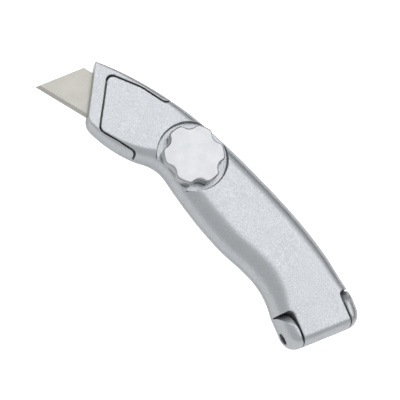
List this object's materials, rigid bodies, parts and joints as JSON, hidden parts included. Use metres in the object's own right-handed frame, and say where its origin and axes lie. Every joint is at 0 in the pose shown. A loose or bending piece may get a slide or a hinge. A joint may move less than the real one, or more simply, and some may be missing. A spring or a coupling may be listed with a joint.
{
  "type": "utility knife",
  "caption": "Fixed-blade trimming knife: trapezoid blade in a curved die-cast handle whose two halves hinge at the tail and are clamped by a lobed knob.",
  "frame": {"origin": "on the flat back face, straight below the knob's axis", "axes": "+X along the cutting edge to the blade's tip, +Y towards the cutting-edge side, +Z out through the knob"},
  "size_m": [0.165, 0.0665, 0.0208],
  "materials": {
    "body_paint": "fine-textured satin silver paint on zinc casting",
    "knob_plate": "satin chrome plate",
    "blade_steel": "ground carbon steel, oiled",
    "plain_steel": "bright zinc-plated steel",
    "dark_steel": "black-oxide steel",
    "magnet_nickel": "nickel-plated magnet",
    "insert_brass": "turned brass",
    "tray_plastic": "moulded black plastic"
  },
  "bodies": {
    "back_body": {"back_shell": "body_paint", "hinge_pin": "dark_steel", "hinge_shims": "plain_steel", "blade": "blade_steel", "blade_peg": "plain_steel", "blade_magnet": "magnet_nickel", "threaded_insert": "insert_brass", "dowel_pins": "plain_steel", "blade_tray": "tray_plastic", "spare_blade_1": "blade_steel", "spare_blade_2": "blade_steel", "spare_blade_3": "blade_steel", "tray_spring": "plain_steel", "tray_screws": "dark_steel"},
    "front_body": {"front_shell": "body_paint", "clamp_plate": "plain_steel", "clamp_screws": "dark_steel", "knob_washer": "plain_steel"},
    "ring_body": {"retaining_ring": "dark_steel"},
    "knob_body": {"knob": "knob_plate", "knob_screw": "plain_steel"}
  },
  "joints": [
    {"name": "shell_hinge", "type": "hinge", "parent": "back_body", "child": "front_body", "pos_m": [-0.081, 0.0326, 0.009], "axis": [-0.6198, -0.7848, 0], "range_deg": [0, 150]},
    {"name": "knob_lift", "type": "slide", "parent": "front_body", "child": "ring_body", "axis": [0, 0, 1], "range_m": [0, 0.004]},
    {"name": "knob_turn", "type": "hinge", "parent": "ring_body", "child": "knob_body", "pos_m": [0, 0, 0.009], "axis": [0, 0, 1], "range_deg": [0, 1440]}
  ],
  "couplings": [
    {"joint": "knob_turn", "follows": "knob_lift", "rad_per_m": 6283.2}
  ]
}
